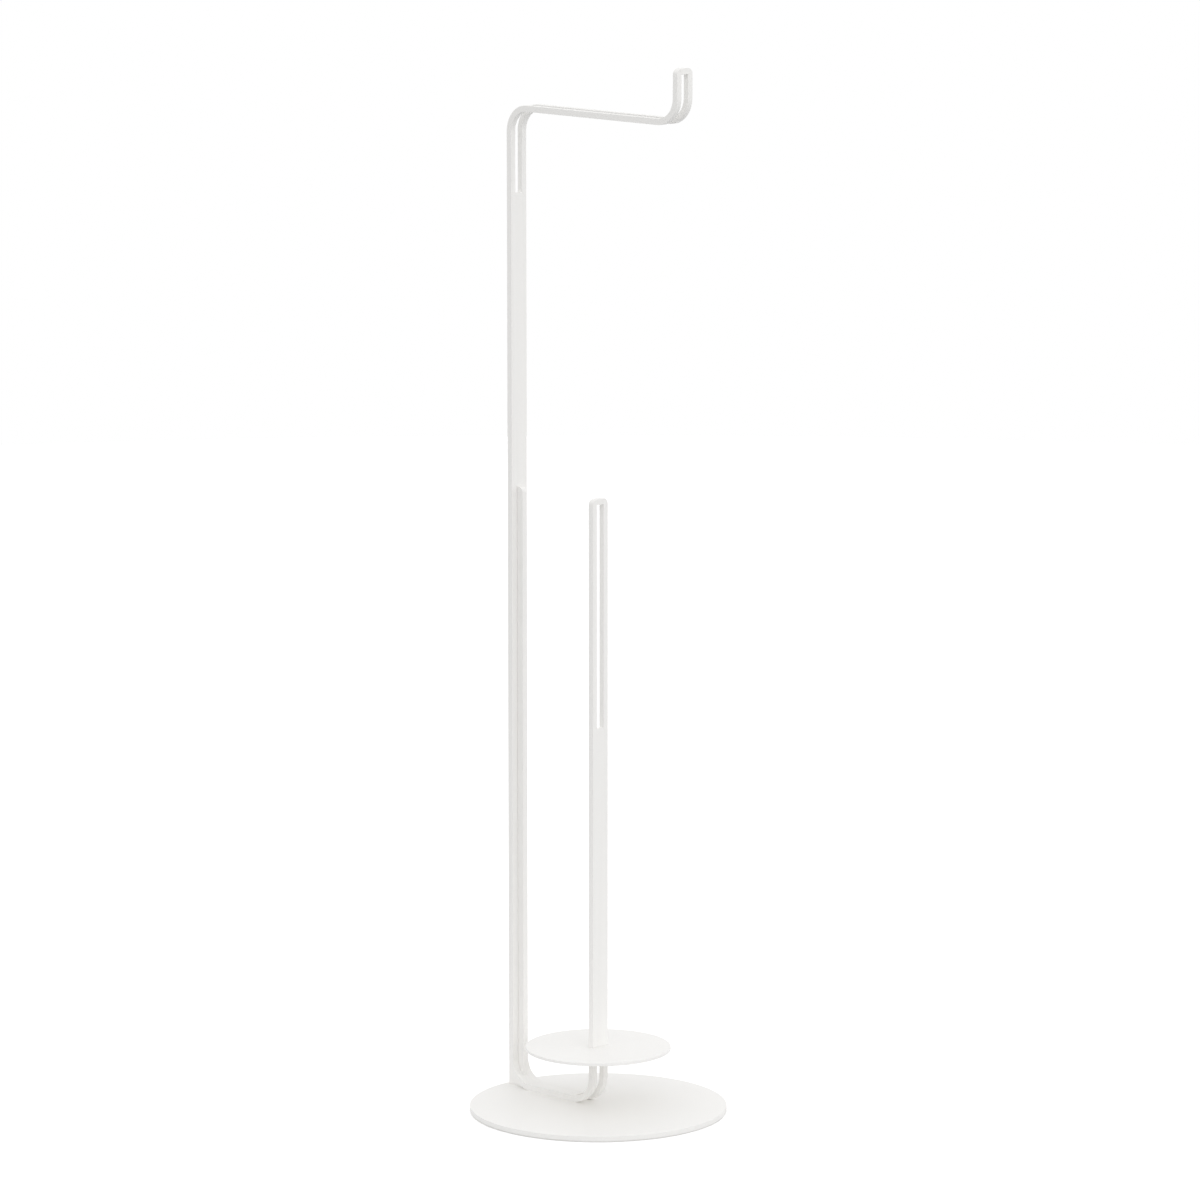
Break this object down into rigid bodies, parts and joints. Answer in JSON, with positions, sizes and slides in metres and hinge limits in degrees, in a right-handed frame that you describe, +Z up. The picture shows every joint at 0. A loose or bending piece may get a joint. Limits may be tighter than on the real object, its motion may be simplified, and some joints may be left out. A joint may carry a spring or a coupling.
{
  "type": "freestanding toilet paper holder",
  "caption": "Tall hook bent from one flat slotted bar on a round base, with an arm for the roll in use and a short spindle with a round shelf for spare rolls.",
  "frame": {"origin": "on the floor, at the centre of the round base", "axes": "+Z up, +X along the arm from the post to the hook, +Y across the bar's width"},
  "size_m": [0.17, 0.17, 0.6956],
  "materials": {
    "powder_coat": "matt white powder coat with a fine grain",
    "pad_rubber": "matt solid rubber",
    "screw_steel": "zinc plated"
  },
  "bodies": {
    "root": {"floor_pad": "pad_rubber", "base_plate": "powder_coat", "frame_bar": "powder_coat", "post_stiffener": "powder_coat", "roll_shelf": "powder_coat", "base_screw_post_side": "screw_steel", "base_screw_spindle_side": "screw_steel"}
  },
  "joints": []
}
